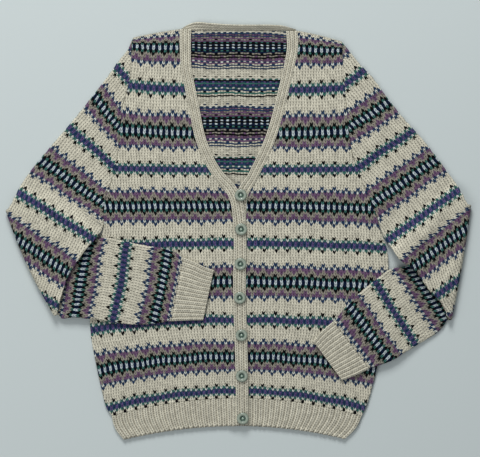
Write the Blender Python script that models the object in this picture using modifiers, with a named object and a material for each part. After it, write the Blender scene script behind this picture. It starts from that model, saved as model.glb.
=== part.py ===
"""Fair isle cardigan, laid flat on a surface, face up and fastened.

The sleeves are folded flat on a crease, so each forearm lies under its upper arm
and over the front. Every sewn or knitted piece is its own closed wall.
Lengths are in millimetres and MM turns them into metres.
+X is the viewer's right, +Y points to the neck, the underside lies on Z = 0.
Right and left are the wearer's, so the right front is at the viewer's left.
"""

import math
from collections import namedtuple

import bmesh
import bpy

MM = 0.001

# Cloth
WALL = 2.4
SEAM_GAP = 0.3
LAYER = WALL + SEAM_GAP
BACK_Z = 0.0
FRONT_Z = LAYER
FRONT_TOP = FRONT_Z + WALL
TUBE = 2 * WALL + SEAM_GAP
EDGE_INSET = 1.2
EDGE_DROP = 0.7
SHARP_ANGLE = 50
KNIT_ROUGHNESS = 0.9
BUTTON_ROUGHNESS = 0.3

# Body
NECK_Y = 300.5
RIB_TOP_ROW = 0
HEM_MID_Y = -291.5
HEM_RIGHT = (-172.0, -312.0)
HEM_LEFT = (159.5, -311.0)
RIB_SIDE_BULGE = 4.0
RIB_PITCH = 7.2
RIB_RISE = 0.8
RIB_PROFILE = (0.0, 0.85, 1.0, 0.85)
RIB_ROWS = 2
FRONT_COLUMNS = 12
BACK_COLUMNS = 22

# Bands
BAND_WIDTH = 18.8
BAND_RIDGES = 3
BAND_LIFT_LOW_Y = 70.0
BAND_LIFT_HIGH_Y = 115.0
BAND_RAMP = 18.0
NECK_BAND_RISE = 7.0
NECK_BAND_COLUMNS = 6

# Sleeves
CREASE_RADIUS = 3.6
CREASE_STEPS = 4
OUTER_EDGE = ((0.0, 0.0), (0.8, 0.72), (2.6, 1.0))
INNER_EDGE = OUTER_EDGE + ((7.0, 1.0), (12.0, 1.0))
LUMEN = 0.3
LUMEN_SET_BACK = 0.6
SLEEVE_REST = TUBE / 2
OVER_FRONT = FRONT_TOP + SEAM_GAP
CLIMB_START = 75.0
CLIMB_END = 20.0
UPPER_ROWS = (0.0, 0.03, 0.07, 0.11, 0.15, 0.19, 0.24, 0.30, 0.37, 0.45, 0.54, 0.64, 0.75, 0.87, 1.0)
FOREARM_ROWS = (0.0, 0.09, 0.18, 0.27, 0.36, 0.46, 0.58, 0.72, 0.86, 1.0)
CUFF_ROWS = 2
CUFF_RIBS = 28

# Buttons
BUTTON_RADIUS = 9.0
BUTTON_TURNS = 18
BUTTON_XY = (
    (3.5, 53.5),
    (4.0, 2.5),
    (3.0, -49.5),
    (2.0, -100.0),
    (4.5, -156.0),
    (5.0, -217.0),
    (6.5, -280.5),
)
ButtonRing = namedtuple("ButtonRing", "radius height")
BUTTON_PROFILE = (
    ButtonRing(0.0, 1.9),
    ButtonRing(1.4, 1.7),
    ButtonRing(2.2, 1.0),
    ButtonRing(3.5, 1.0),
    ButtonRing(4.3, 2.2),
    ButtonRing(6.4, 3.0),
    ButtonRing(8.2, 2.7),
    ButtonRing(BUTTON_RADIUS, 1.5),
    ButtonRing(8.1, 0.2),
    ButtonRing(6.8, 0.0),
    ButtonRing(0.0, 0.0),
)

# One line for each knitted row that shapes the body, from the hem rib to the shoulder.
# mid_y is the row's height at the middle; the sides are the outer edges of the panels,
# and the edges are where each front meets its band.
BodyRow = namedtuple("BodyRow", "mid_y right_x right_y right_edge left_x left_y left_edge band")
BODY = (
    BodyRow(-250.5, -189.5, -277.5, -4.0, 184.0, -277.5, 15.0, 18.8),
    BodyRow(-240.0, -197.0, -266.0, -4.0, 190.0, -265.5, 15.0, 18.8),
    BodyRow(-214.0, -205.0, -238.0, -4.5, 199.5, -237.0, 14.5, 18.8),
    BodyRow(-188.0, -211.0, -210.0, -5.0, 206.5, -208.5, 14.0, 18.8),
    BodyRow(-133.0, -222.0, -148.0, -7.0, 217.0, -145.5, 12.0, 18.8),
    BodyRow(-76.0, -219.5, -85.5, -8.0, 223.0, -84.0, 11.0, 18.8),
    BodyRow(-18.5, -211.0, -24.0, -7.0, 222.0, -25.5, 12.0, 18.8),
    BodyRow(9.5, -201.5, 7.5, -8.0, 212.5, 2.0, 11.0, 18.8),
    BodyRow(31.5, -201.5, 30.0, -10.0, 205.0, 28.0, 12.0, 18.8),
    BodyRow(46.5, -200.0, 46.0, -13.0, 199.0, 42.0, 13.0, 18.0),
    BodyRow(58.5, -196.5, 59.5, -19.0, 193.0, 57.5, 16.5, 17.0),
    BodyRow(73.5, -190.5, 74.0, -32.0, 185.5, 73.5, 26.0, 16.0),
    BodyRow(91.5, -184.5, 94.0, -44.5, 178.5, 93.0, 35.0, 15.5),
    BodyRow(118.5, -180.5, 121.5, -58.0, 170.0, 119.0, 48.0, 15.5),
    BodyRow(145.5, -177.0, 152.0, -67.0, 165.5, 149.0, 58.5, 15.5),
    BodyRow(178.5, -174.0, 185.0, -73.5, 162.5, 182.0, 68.0, 15.5),
    BodyRow(210.0, -165.5, 217.5, -80.0, 159.5, 214.0, 75.5, 15.5),
    BodyRow(241.5, -161.0, 249.0, -86.0, 157.0, 244.5, 83.0, 15.5),
    BodyRow(273.0, -160.0, 277.0, -88.0, 155.5, 270.0, 89.0, 16.5),
    BodyRow(308.0, -158.0, 289.5, -88.0, 155.0, 283.5, 88.5, 17.0),
)
ARMPIT_ROW = 7

# Outlines of the folded sleeves, seen from above, in millimetres.
# outer and inner run from the body to the crease, top and bottom from the crease to
# the cuff, cuff_top and cuff_bottom along the cuff. tuck is the forearm's hidden edge,
# and climb holds where the upper arm starts and ends its rise, as distances before
# that edge, first at the crease and then at the armpit.
Sleeve = namedtuple(
    "Sleeve",
    "outer inner crease bow tuck climb top bottom cuff_top cuff_bottom outward",
)
RIGHT_SLEEVE = Sleeve(
    outer=((-158, 289.5), (-166, 272), (-181, 253.5), (-200, 226.5), (-226, 193.5),
           (-260, 151.5), (-295, 111), (-325, 70.5), (-341, 46)),
    inner=((-201.5, 7.5), (-207.5, 1), (-214, -8), (-223, -18), (-237, -40.5),
           (-256, -73.5), (-265, -100.5), (-272, -124)),
    crease=((-349.5, 31.0), (-276.0, -128.0)),
    bow=5.0,
    tuck=((-346, 28.5), (-212, -10.5)),
    climb=((50, 22), (21, 3)),
    top=((-212, -10.5), (-193, -10.5), (-170, -15), (-133, -22.5), (-100, -29), (-83, -39)),
    bottom=((-268, -129), (-245, -129), (-223, -132), (-178, -138), (-148, -140.5), (-101, -135)),
    cuff_top=((-83, -39), (-65, -46.5), (-50, -54), (-37, -58.5)),
    cuff_bottom=((-101, -135), (-80, -134), (-66, -133.5), (-53, -133.5)),
    outward=-1,
)
LEFT_SLEEVE = Sleeve(
    outer=((155, 283.5), (166, 270), (179, 253.5), (198, 234), (221, 202.5), (250, 166.5),
           (283, 129), (311, 91.5), (332, 61.5), (343, 47)),
    inner=((212.5, 2), (224, -18), (232, -31.5), (240, -44), (250, -51), (265, -61.5),
           (277, -78), (287, -91.5), (302, -106.5), (313, -122)),
    crease=((349.0, 39.0), (319.5, -134.0)),
    bow=1.5,
    tuck=((347, 36), (245, -54)),
    climb=((50, 22), (50, 22)),
    top=((250, -52.5), (224, -58.5), (212, -67.5), (197, -78.5), (167, -106.5), (142, -135)),
    bottom=((302, -148.5), (287, -160), (272, -168), (257, -177), (227, -195), (196, -206)),
    cuff_top=((142, -135), (131, -144), (121, -154), (112, -165)),
    cuff_bottom=((196, -206), (184, -212), (170, -218), (155, -223.5)),
    outward=1,
)

CREAM = (0.56, 0.50, 0.38)
KNIT = (0.24, 0.23, 0.24)
SEA_GREEN = (0.22, 0.32, 0.27)


# Small helpers for curves and points


def mix(a, b, t):
    return a + (b - a) * t


def mix_points(a, b, t):
    return tuple(mix(p, q, t) for p, q in zip(a, b))


def smooth_step(low, high, value):
    t = min(1.0, max(0.0, (value - low) / (high - low)))
    return t * t * (3 - 2 * t)


def unit(a, b):
    """Direction from a to b, as a unit vector."""
    dx, dy = b[0] - a[0], b[1] - a[1]
    length = math.hypot(dx, dy)
    return dx / length, dy / length


def beside(points, index, distance):
    """The point at a distance to the left of a line through points, at one of them."""
    before = points[max(0, index - 1)]
    after = points[min(len(points) - 1, index + 1)]
    dx, dy = unit(before, after)
    return points[index][0] - dy * distance, points[index][1] + dx * distance


def along(points, t):
    """The point at a share t of a smooth curve's length through points."""
    steps = [math.dist(a, b) for a, b in zip(points, points[1:])]
    wanted = t * sum(steps)
    for index, step in enumerate(steps):
        if wanted <= step or index == len(steps) - 1:
            break
        wanted -= step
    s = min(1.0, wanted / steps[index])
    first, last = points[index], points[index + 1]
    before = points[index - 1] if index else first
    after = points[index + 2] if index + 2 < len(points) else last
    result = []
    for p0, p1, p2, p3 in zip(before, first, last, after):
        result.append(
            0.5 * (2 * p1 + (p2 - p0) * s + (2 * p0 - 5 * p1 + 4 * p2 - p3) * s ** 2
                   + (3 * p1 - p0 - 3 * p2 + p3) * s ** 3)
        )
    return tuple(result)


# Small helpers for meshes


def material(name, colour, roughness, metallic=0.0):
    made = bpy.data.materials.new(name)
    made.use_nodes = True
    shader = made.node_tree.nodes["Principled BSDF"]
    shader.inputs["Base Color"].default_value = (*colour, 1.0)
    shader.inputs["Roughness"].default_value = roughness
    shader.inputs["Metallic"].default_value = metallic
    made.diffuse_color = (*colour, 1.0)
    return made


def finish_piece(name, points, faces, colour, roughness):
    """Makes a named object from points in millimetres, with its faces pointing out."""
    mesh = bpy.data.meshes.new(name)
    mesh.from_pydata([tuple(c * MM for c in p) for p in points], [], faces)
    work = bmesh.new()
    work.from_mesh(mesh)
    bmesh.ops.recalc_face_normals(work, faces=work.faces)
    work.to_mesh(mesh)
    work.free()
    piece = bpy.data.objects.new(name, mesh)
    piece.data.materials.append(material(name, colour, roughness))
    mesh.shade_smooth()
    mesh.set_sharp_from_angle(angle=math.radians(SHARP_ANGLE))
    CARDIGAN.objects.link(piece)
    return piece


def grid_wall(name, outer, inner, colour, ring=False):
    """A closed wall between two grids of the same size. A ring is a tube open at its ends,
    and the two faces of a flattened tube are split alike, so that they stay parallel."""
    rows, columns = len(outer), len(outer[0])
    points = [p for row in outer for p in row] + [p for row in inner for p in row]
    half = rows * columns
    spans = columns if ring else columns - 1

    def at(row, column, side):
        return side * half + row * columns + column % columns

    faces = []
    for row in range(rows - 1):
        for column in range(spans):
            for side in (0, 1):
                near, next_near = at(row, column, side), at(row, column + 1, side)
                far, next_far = at(row + 1, column, side), at(row + 1, column + 1, side)
                if ring and column >= spans // 2:
                    faces += [[near, next_near, far], [next_near, next_far, far]]
                else:
                    faces += [[near, next_near, next_far], [near, next_far, far]]
    for row in (0, rows - 1):
        for column in range(spans):
            faces.append([at(row, column, 0), at(row, column, 1),
                          at(row, column + 1, 1), at(row, column + 1, 0)])
    if not ring:
        for column in (0, columns - 1):
            for row in range(rows - 1):
                faces.append([at(row, column, 0), at(row + 1, column, 0),
                              at(row + 1, column, 1), at(row, column, 1)])
    return finish_piece(name, points, faces, colour, KNIT_ROUGHNESS)


def across(width, count):
    """Shares across a panel, with one line close to each edge for its rounding."""
    inset = EDGE_INSET / width
    inner = [mix(inset, 1 - inset, i / (count - 2)) for i in range(count - 1)]
    return [0.0] + inner + [1.0]


def panel_wall(name, plan, base, tops, colour):
    """A wall from a grid of plan points. base and tops give its lower face and thickness."""
    last_row, last_column = len(plan) - 1, len(plan[0]) - 1
    outer, inner = [], []
    for j, row in enumerate(plan):
        upper, lower = [], []
        for i, (x, y) in enumerate(row):
            rim = j in (0, last_row) or i in (0, last_column)
            bottom = base(x, y)
            upper.append((x, y, bottom + tops(i, j) - (EDGE_DROP if rim else 0)))
            lower.append((x, y, bottom))
        outer.append(upper)
        inner.append(lower)
    return grid_wall(name, outer, inner, colour)


def plain(i, j):
    return WALL


# Body panels


def row_y(row, x):
    """Height of a knitted row at x. Rows are level in the middle and bow at the sides."""
    side_x, side_y = (row.right_x, row.right_y) if x < 0 else (row.left_x, row.left_y)
    return mix(row.mid_y, side_y, (x / side_x) ** 2)


def right_lift(y):
    """The right band lies on the left one below the neck opening and beside it above."""
    return LAYER * (1 - smooth_step(BAND_LIFT_LOW_Y, BAND_LIFT_HIGH_Y, y))


def right_front_base(x, y):
    edge = row_edge_x(y)
    return FRONT_Z + right_lift(y) * (1 - smooth_step(0, BAND_RAMP, edge - x))


def row_edge_x(y):
    """The x of the right band's seam at a height."""
    for low, high in zip(BODY, BODY[1:]):
        low_y, high_y = row_y(low, low.right_edge), row_y(high, high.right_edge)
        if y <= high_y:
            share = max(0.0, (y - low_y) / (high_y - low_y))
            return mix(low.right_edge, high.right_edge, share)
    return BODY[-1].right_edge


def flat_front_base(x, y):
    return FRONT_Z


def with_rims(rows):
    """Adds a row just inside each end of a panel, for its rounded edges."""
    first = [mix_points(a, b, EDGE_INSET / math.dist(a, b)) for a, b in zip(rows[0], rows[1])]
    last = [mix_points(a, b, EDGE_INSET / math.dist(a, b)) for a, b in zip(rows[-1], rows[-2])]
    return [rows[0], first] + rows[1:-1] + [last, rows[-1]]


def front_plan(side):
    rows = []
    for row in BODY:
        edge = row.right_edge if side == "right" else row.left_edge
        outer = row.right_x if side == "right" else row.left_x
        inward = 1 if side == "right" else -1
        start, end = edge - inward * SEAM_GAP / 2, outer + inward * SEAM_GAP / 2
        shares = across(abs(end - start), FRONT_COLUMNS)
        line = [mix(start, end, t) for t in shares]
        rows.append([(x, row_y(row, x)) for x in line])
    return with_rims(rows)


def back_plan():
    rows = []
    for row in BODY:
        start, end = row.right_x + SEAM_GAP / 2, row.left_x - SEAM_GAP / 2
        line = [mix(start, end, t) for t in across(end - start, BACK_COLUMNS)]
        rows.append([(x, min(row_y(row, x), NECK_Y)) for x in line])
    return with_rims(rows)


def build_body():
    panel_wall("back", back_plan(), lambda x, y: BACK_Z, plain, KNIT)
    panel_wall("right_front", front_plan("right"), right_front_base, plain, KNIT)
    panel_wall("left_front", front_plan("left"), flat_front_base, plain, KNIT)


# Hem ribs


def hem_y(x, share):
    """Height on the hem rib, from its cast-on edge at share 0 to its top at share 1."""
    side = HEM_RIGHT if x < 0 else HEM_LEFT
    low = mix(HEM_MID_Y, side[1], (x / side[0]) ** 2)
    return mix(low, row_y(BODY[RIB_TOP_ROW], x) - SEAM_GAP, share)


def rib_profile(index):
    return RIB_PROFILE[index % len(RIB_PROFILE)]


def rib_plan(start_x, end_x, start_slope, end_slope, ribs, steps):
    """Plan points of a hem rib between two sides. Slopes move each side towards the top."""
    columns = ribs * steps
    rows = []
    for j in range(RIB_ROWS + 1):
        share = j / RIB_ROWS
        swell = RIB_SIDE_BULGE * math.sin(math.pi * share)
        left = start_x + start_slope * share
        right = end_x + end_slope * share
        left += math.copysign(swell, start_slope) if start_slope else 0
        right += math.copysign(swell, end_slope) if end_slope else 0
        line = [mix(left, right, i / columns) for i in range(columns + 1)]
        rows.append([(x, hem_y(x, share)) for x in line])
    return rows


def rib_tops(i, j):
    return WALL - RIB_RISE + RIB_RISE * rib_profile(i)


def build_hem():
    top = BODY[RIB_TOP_ROW]
    half = SEAM_GAP / 2
    right_edge, left_edge = top.right_edge - half, top.left_edge + half
    steps = len(RIB_PROFILE)
    right_ribs = round((right_edge - HEM_RIGHT[0]) / RIB_PITCH)
    left_ribs = round((HEM_LEFT[0] - left_edge) / RIB_PITCH)
    right = rib_plan(HEM_RIGHT[0], right_edge, top.right_x - HEM_RIGHT[0], 0, right_ribs, steps)
    left = rib_plan(left_edge, HEM_LEFT[0], 0, top.left_x - HEM_LEFT[0], left_ribs, steps)
    both = rib_plan(HEM_RIGHT[0], HEM_LEFT[0], top.right_x - HEM_RIGHT[0],
                    top.left_x - HEM_LEFT[0], right_ribs + left_ribs + 2, 1)
    panel_wall("right_front_rib", right, right_front_base, rib_tops, CREAM)
    panel_wall("left_front_rib", left, flat_front_base, rib_tops, CREAM)
    panel_wall("back_hem_rib", both, lambda x, y: BACK_Z, plain, CREAM)


# Bands


def band_route(side):
    """Points along a front band's seam, from the hem to the shoulder, with its width."""
    hem_top = BODY[RIB_TOP_ROW]
    edge = hem_top.right_edge if side == "right" else hem_top.left_edge
    points = [(edge, hem_y(edge, j / RIB_ROWS), BAND_WIDTH) for j in range(RIB_ROWS)]
    for row in BODY:
        x = row.right_edge if side == "right" else row.left_edge
        points.append((x, row_y(row, x), row.band))
    return points


def build_front_band(side):
    route = band_route(side)
    line = [(x, y) for x, y, _ in route]
    turn = -1 if side == "right" else 1
    steps = BAND_RIDGES * len(RIB_PROFILE)
    plan = []
    for j, (x, y, width) in enumerate(route):
        near = beside(line, j, turn * SEAM_GAP / 2)
        far = beside(line, j, turn * (width - SEAM_GAP / 2))
        plan.append([mix_points(near, far, i / steps) for i in range(steps + 1)])
    if side == "right":
        panel_wall("right_band", plan, lambda x, y: FRONT_Z + right_lift(y), rib_tops, CREAM)
    else:
        panel_wall("left_band", plan, flat_front_base, rib_tops, CREAM)


# The band behind the neck rises from its seam. Its ends tuck under the front bands.
NeckStation = namedtuple("NeckStation", "seam_x top_x top_y rise")
NECK_STATIONS = (
    NeckStation(-86.0, -86.0, 302.6, 0.0),
    NeckStation(-80.0, -80.0, 307.0, 0.2),
    NeckStation(-72.0, -73.0, 310.5, 0.5),
    NeckStation(-62.0, -64.0, 313.0, 0.8),
    NeckStation(-42.0, -43.0, 311.5, 1.0),
    NeckStation(-14.0, -14.0, 309.5, 1.0),
    NeckStation(20.0, 20.0, 309.0, 1.0),
    NeckStation(47.0, 48.0, 309.0, 1.0),
    NeckStation(66.0, 68.0, 307.5, 0.7),
    NeckStation(76.0, 77.0, 305.0, 0.4),
    NeckStation(86.0, 86.0, 302.4, 0.0),
)


def build_neck_band():
    outer, inner = [], []
    last = len(NECK_STATIONS) - 1
    steps = NECK_BAND_COLUMNS
    for j, station in enumerate(NECK_STATIONS):
        seam = (station.seam_x, NECK_Y + SEAM_GAP)
        top = (station.top_x, station.top_y)
        rise = NECK_BAND_RISE * station.rise
        run = math.dist(seam, top)
        tilt = math.atan2(rise, run)
        lean = (top[0] - seam[0]) / run, (top[1] - seam[1]) / run
        upper, lower = [], []
        for i in range(steps + 1):
            share = i / steps
            x, y = mix_points(seam, top, share)
            thick = WALL - RIB_RISE + RIB_RISE * rib_profile(2 * i)
            if i in (0, steps) or j in (0, last):
                thick -= EDGE_DROP
            base_z = rise * share ** 1.5
            lower.append((x, y, base_z))
            shift = thick * math.sin(tilt) * share
            upper.append((x - lean[0] * shift, y - lean[1] * shift, base_z + thick))
        outer.append(upper)
        inner.append(lower)
    grid_wall("neck_band", outer, inner, CREAM)


# Sleeves


def armhole(sleeve, set_back=0.0):
    """The armhole seam from the shoulder to the armpit, through the body's row ends."""
    right = sleeve.outward < 0
    rows = BODY[:ARMPIT_ROW - 1:-1]
    ends = [(row.right_x, row.right_y) if right else (row.left_x, row.left_y) for row in rows]
    return [(x + sleeve.outward * (SEAM_GAP / 2 + set_back), y) for x, y in ends]


def sleeve_columns(width, shares, inner_edge):
    """Shares across a sleeve and the height of each, from edge to edge of one face."""
    start = [(inset / width, lift) for inset, lift in OUTER_EDGE]
    end = [(1 - inset / width, lift) for inset, lift in reversed(inner_edge)]
    middle = [(share, 1.0) for share in shares if start[-1][0] < share < end[0][0]]
    return start + middle + end


def on_polyline(points, shares, t):
    for index in range(len(shares) - 1):
        if t <= shares[index + 1]:
            break
    span = shares[index + 1] - shares[index]
    return mix_points(points[index], points[index + 1], (t - shares[index]) / span)


def length_shares(points):
    steps = [math.dist(a, b) for a, b in zip(points, points[1:])]
    total = sum(steps)
    return [sum(steps[:i]) / total for i in range(len(points))]


def outward_normal(sleeve):
    dx, dy = unit(*sleeve.crease)
    return (dy, -dx) if (dy * sleeve.outward) > 0 else (-dy, dx)


def crease_base(sleeve, u):
    """Start of the fold's round, set in from the fold's outline by its outer radius."""
    ex, ey = outward_normal(sleeve)
    x, y = mix_points(*sleeve.crease, u)
    out = sleeve.bow * math.sin(math.pi * u) - CREASE_RADIUS - TUBE / 2
    return x + ex * out, y + ey * out


def body_side_x(sleeve, y):
    """Outer edge of the body at a height, on the sleeve's side."""
    right = sleeve.outward < 0
    for low, high in zip(BODY, BODY[1:]):
        low_y = low.right_y if right else low.left_y
        high_y = high.right_y if right else high.left_y
        if y <= high_y:
            share = max(0.0, (y - low_y) / (high_y - low_y))
            low_x = low.right_x if right else low.left_x
            high_x = high.right_x if right else high.left_x
            return mix(low_x, high_x, share)
    return BODY[-1].right_x if right else BODY[-1].left_x


def forearm_lift(sleeve, x, y):
    """The forearm lies on the floor outside the body and on the front inside it."""
    outside = sleeve.outward * (x - body_side_x(sleeve, y))
    return OVER_FRONT * (1 - smooth_step(CLIMB_END, CLIMB_START, outside))


def upper_lift(sleeve, x, y):
    """The upper arm lies on the forearm below the line where the forearm is tucked in."""
    start, end = sleeve.tuck
    dx, dy = unit(start, end)
    below = sleeve.outward * ((y - start[1]) * dx - (x - start[0]) * dy)
    passed = ((x - start[0]) * dx + (y - start[1]) * dy) / math.dist(start, end)
    low, high = mix_points(*sleeve.climb, min(1.0, max(0.0, passed)) ** 3)
    climb = smooth_step(-low, -high, below)
    return climb * (2 * CREASE_RADIUS + forearm_lift(sleeve, x, y))


def upper_arm_point(sleeve, u, v, seam, shares):
    """A plan point of the upper arm between the armhole, the crease and the two edges."""
    outer_end, inner_end = crease_base(sleeve, 0), crease_base(sleeve, 1)
    outer = along(sleeve.outer[:-1] + (outer_end,), v) if v else seam[0]
    inner = along(sleeve.inner[:-1] + (inner_end,), v) if v else seam[-1]
    at_seam, at_crease = on_polyline(seam, shares, u), crease_base(sleeve, u)
    result = []
    for k in (0, 1):
        sides = mix(outer[k], inner[k], u)
        ends = mix(at_seam[k], at_crease[k], v)
        corners = mix(mix(seam[0][k], seam[-1][k], u), mix(outer_end[k], inner_end[k], u), v)
        result.append(sides + ends - corners)
    return tuple(result)


def sleeve_rows(sleeve, across_shares, set_back=0.0):
    """Mid-surface points and normals of each row of the folded sleeve, from armhole to cuff."""
    seam = armhole(sleeve, set_back)
    shares = length_shares(seam)
    ex, ey = outward_normal(sleeve)
    rows = []
    for v in UPPER_ROWS:
        row = []
        for u in across_shares:
            x, y = upper_arm_point(sleeve, u, v, seam, shares)
            row.append(((x, y, SLEEVE_REST + upper_lift(sleeve, x, y)), (0, 0, 1)))
        rows.append(row)
    for step in range(1, CREASE_STEPS):
        angle = math.pi * step / CREASE_STEPS
        row = []
        for u in across_shares:
            x, y = crease_base(sleeve, u)
            out, up = math.sin(angle), math.cos(angle)
            lift = forearm_lift(sleeve, x, y)
            z = SLEEVE_REST + lift + CREASE_RADIUS * (1 + up)
            reach = CREASE_RADIUS * out
            row.append(((x + ex * reach, y + ey * reach, z), (ex * out, ey * out, up)))
        rows.append(row)
    top = (crease_base(sleeve, 0),) + sleeve.top
    bottom = (crease_base(sleeve, 1),) + sleeve.bottom
    for v in FOREARM_ROWS:
        row = []
        for u in across_shares:
            x, y = mix_points(along(top, v), along(bottom, v), u)
            row.append(((x, y, SLEEVE_REST + forearm_lift(sleeve, x, y)), (0, 0, -1)))
        rows.append(row)
    return rows


def offset(point_and_normal, reach):
    point, normal = point_and_normal
    return tuple(p + n * reach for p, n in zip(point, normal))


def build_tube(name, rows_at, columns, width, colour, ribbed=False):
    """A flattened tube. rows_at gives its mid-surface for any shares across its width,
    and sets its first row back a little for the inner face."""
    shares = [share for share, _ in columns]
    inset = WALL / width
    outer_rows = rows_at(shares, 0.0)
    lumen_rows = rows_at([mix(inset, 1 - inset, share) for share in shares], LUMEN_SET_BACK)
    last = len(columns) - 1
    outer, inner = [], []
    for outer_row, lumen_row in zip(outer_rows, lumen_rows):
        outside, inside = [], []
        for side in (1, -1):
            order = range(last + 1) if side == 1 else range(last - 1, 0, -1)
            for i in order:
                rise = columns[i][1]
                height = TUBE / 2 * rise
                if ribbed:
                    height -= RIB_RISE * (1 - rib_profile(i + 1)) * rise
                outside.append(offset(outer_row[i], side * height))
                inside.append(offset(lumen_row[i], side * (LUMEN if 0 < i < last else 0)))
        outer.append(outside)
        inner.append(inside)
    grid_wall(name, outer, inner, colour, ring=True)


def build_sleeve(name, sleeve):
    width = math.dist(crease_base(sleeve, 0), crease_base(sleeve, 1))
    columns = sleeve_columns(width, length_shares(armhole(sleeve)), INNER_EDGE)
    build_tube(name, lambda *how: sleeve_rows(sleeve, *how), columns, width, KNIT)


def cuff_rows(sleeve, across_shares, set_back):
    """Mid-surface points and normals of the cuff, a seam's gap beyond the sleeve."""
    dx, dy = unit(sleeve.cuff_top[0], sleeve.cuff_top[1])
    rows = []
    for step in range(CUFF_ROWS + 1):
        v = step / CUFF_ROWS
        top, bottom = along(sleeve.cuff_top, v), along(sleeve.cuff_bottom, v)
        gap = SEAM_GAP + set_back if step == 0 else 0
        row = []
        for u in across_shares:
            x, y = mix_points(top, bottom, u)
            point = (x + dx * gap, y + dy * gap, SLEEVE_REST + OVER_FRONT)
            row.append((point, (0, 0, -1)))
        rows.append(row)
    return rows


def build_cuff(name, sleeve):
    width = math.dist(sleeve.cuff_top[0], sleeve.cuff_bottom[0])
    steps = CUFF_RIBS * len(RIB_PROFILE) // 2
    columns = sleeve_columns(width, [i / steps for i in range(1, steps)], OUTER_EDGE)
    build_tube(name, lambda *how: cuff_rows(sleeve, *how), columns, width, CREAM, ribbed=True)


# Buttons


def build_buttons():
    base = FRONT_Z + LAYER + WALL + SEAM_GAP
    profile = bpy.data.meshes.new("button")
    corners = [(ring.radius * MM, 0, ring.height * MM) for ring in BUTTON_PROFILE]
    profile.from_pydata(corners, [(i, i + 1) for i in range(len(corners) - 1)], [])
    for number, (x, y) in enumerate(BUTTON_XY, start=1):
        button = bpy.data.objects.new(f"button_{number}", profile)
        button.location = (x * MM, y * MM, base * MM)
        turn = button.modifiers.new("Turned shape", "SCREW")
        turn.axis = "Z"
        turn.steps = BUTTON_TURNS
        turn.render_steps = BUTTON_TURNS
        turn.use_merge_vertices = True
        turn.merge_threshold = 0.00001
        turn.use_smooth_shade = True
        if number == 1:
            profile.materials.append(material("button", SEA_GREEN, BUTTON_ROUGHNESS))
        CARDIGAN.objects.link(button)


for old in list(bpy.data.objects):
    bpy.data.objects.remove(old)
CARDIGAN = bpy.data.collections.new("Fair isle cardigan")
bpy.context.scene.collection.children.link(CARDIGAN)

build_body()
build_hem()
build_front_band("right")
build_front_band("left")
build_neck_band()
build_sleeve("right_sleeve", RIGHT_SLEEVE)
build_sleeve("left_sleeve", LEFT_SLEEVE)
build_cuff("right_cuff", RIGHT_SLEEVE)
build_cuff("left_cuff", LEFT_SLEEVE)
build_buttons()
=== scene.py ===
import math
from collections import namedtuple

import bmesh
import bpy
import numpy as np
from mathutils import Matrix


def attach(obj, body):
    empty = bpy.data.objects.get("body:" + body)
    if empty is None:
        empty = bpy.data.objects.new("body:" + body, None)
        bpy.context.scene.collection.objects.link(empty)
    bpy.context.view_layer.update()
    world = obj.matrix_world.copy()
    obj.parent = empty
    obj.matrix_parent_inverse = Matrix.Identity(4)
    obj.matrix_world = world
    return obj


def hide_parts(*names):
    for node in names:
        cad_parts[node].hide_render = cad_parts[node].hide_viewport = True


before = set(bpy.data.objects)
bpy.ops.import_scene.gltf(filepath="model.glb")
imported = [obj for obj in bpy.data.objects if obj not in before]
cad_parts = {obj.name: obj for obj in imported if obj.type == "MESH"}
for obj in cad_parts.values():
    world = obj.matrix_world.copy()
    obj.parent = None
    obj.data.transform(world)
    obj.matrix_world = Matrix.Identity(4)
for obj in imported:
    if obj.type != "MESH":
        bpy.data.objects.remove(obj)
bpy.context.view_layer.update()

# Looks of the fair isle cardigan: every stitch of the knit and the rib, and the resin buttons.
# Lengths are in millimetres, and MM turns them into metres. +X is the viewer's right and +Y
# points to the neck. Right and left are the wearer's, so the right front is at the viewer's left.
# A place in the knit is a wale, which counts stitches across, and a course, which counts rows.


def table(columns, *rows):
    """Rows of a table whose columns have names."""
    row_kind = namedtuple("Row", columns)
    return [row_kind(*row) for row in rows]


MM = 0.001
# The way outward on each side of the wearer
OUTWARD = {"right": -1, "left": 1}

# Cloth layers, as in the frame. GAP is the air between two of them.
WALL = 2.4
LAYER = 2.7
FRONT_Z = LAYER
TUBE = 5.1
GAP = 0.3
SLEEVE_REST = TUBE / 2
OVER_FRONT = FRONT_Z + WALL + GAP
CREASE_RADIUS = 3.6
CREASE_LENGTH = math.pi * CREASE_RADIUS
CLIMB_START = 75.0
CLIMB_END = 20.0
NECK_Y = 300.5

# Stitches
CHEVRON = 1.6
STITCH_DEPTH = 1.05
STITCH_STEP = 0.25
COURSE_STEP = 0.5
PURL_STEP = 0.25
PLAIN_STEP = 4.0
PURL_DEPTH = 0.7
PURL_OFFSET = 0.05
EDGE_DROP = 0.6
EDGE_ROUND = 1.6
TUBE_ROUND = 2.6
LINING_GAP = 0.15
ROLL_HEIGHT = 4.0
ROLL_WIDTH = 16.0
WELD = 1e-7

# Ribs
RIB_RISE = 1.2
RIB_PITCH = 7.2
RIB_COURSES = 12
CUFF_RIBS = 14
CUFF_COURSES = 14
BAND_RIBS = 3
COURSE = 4.0
SCALLOP = 0.9
HEM_MID_Y = -291.5
HEM_RIGHT = (-172.0, -312.0)
HEM_LEFT = (159.5, -311.0)
RIB_SIDE_BULGE = 4.0
BAND_LIFT_LOW_Y = 70.0
BAND_LIFT_HIGH_Y = 115.0
BAND_RAMP = 18.0
BAND_POINTS = (20, 300)
RIB_WOBBLE = 1.6
NECK_BAND_RISE = 5.5
NECK_BAND_CURVE = 0.75
NECK_RIB_DEPTH = 0.25
NECK_PLAIN_COLUMNS = 4

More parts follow.
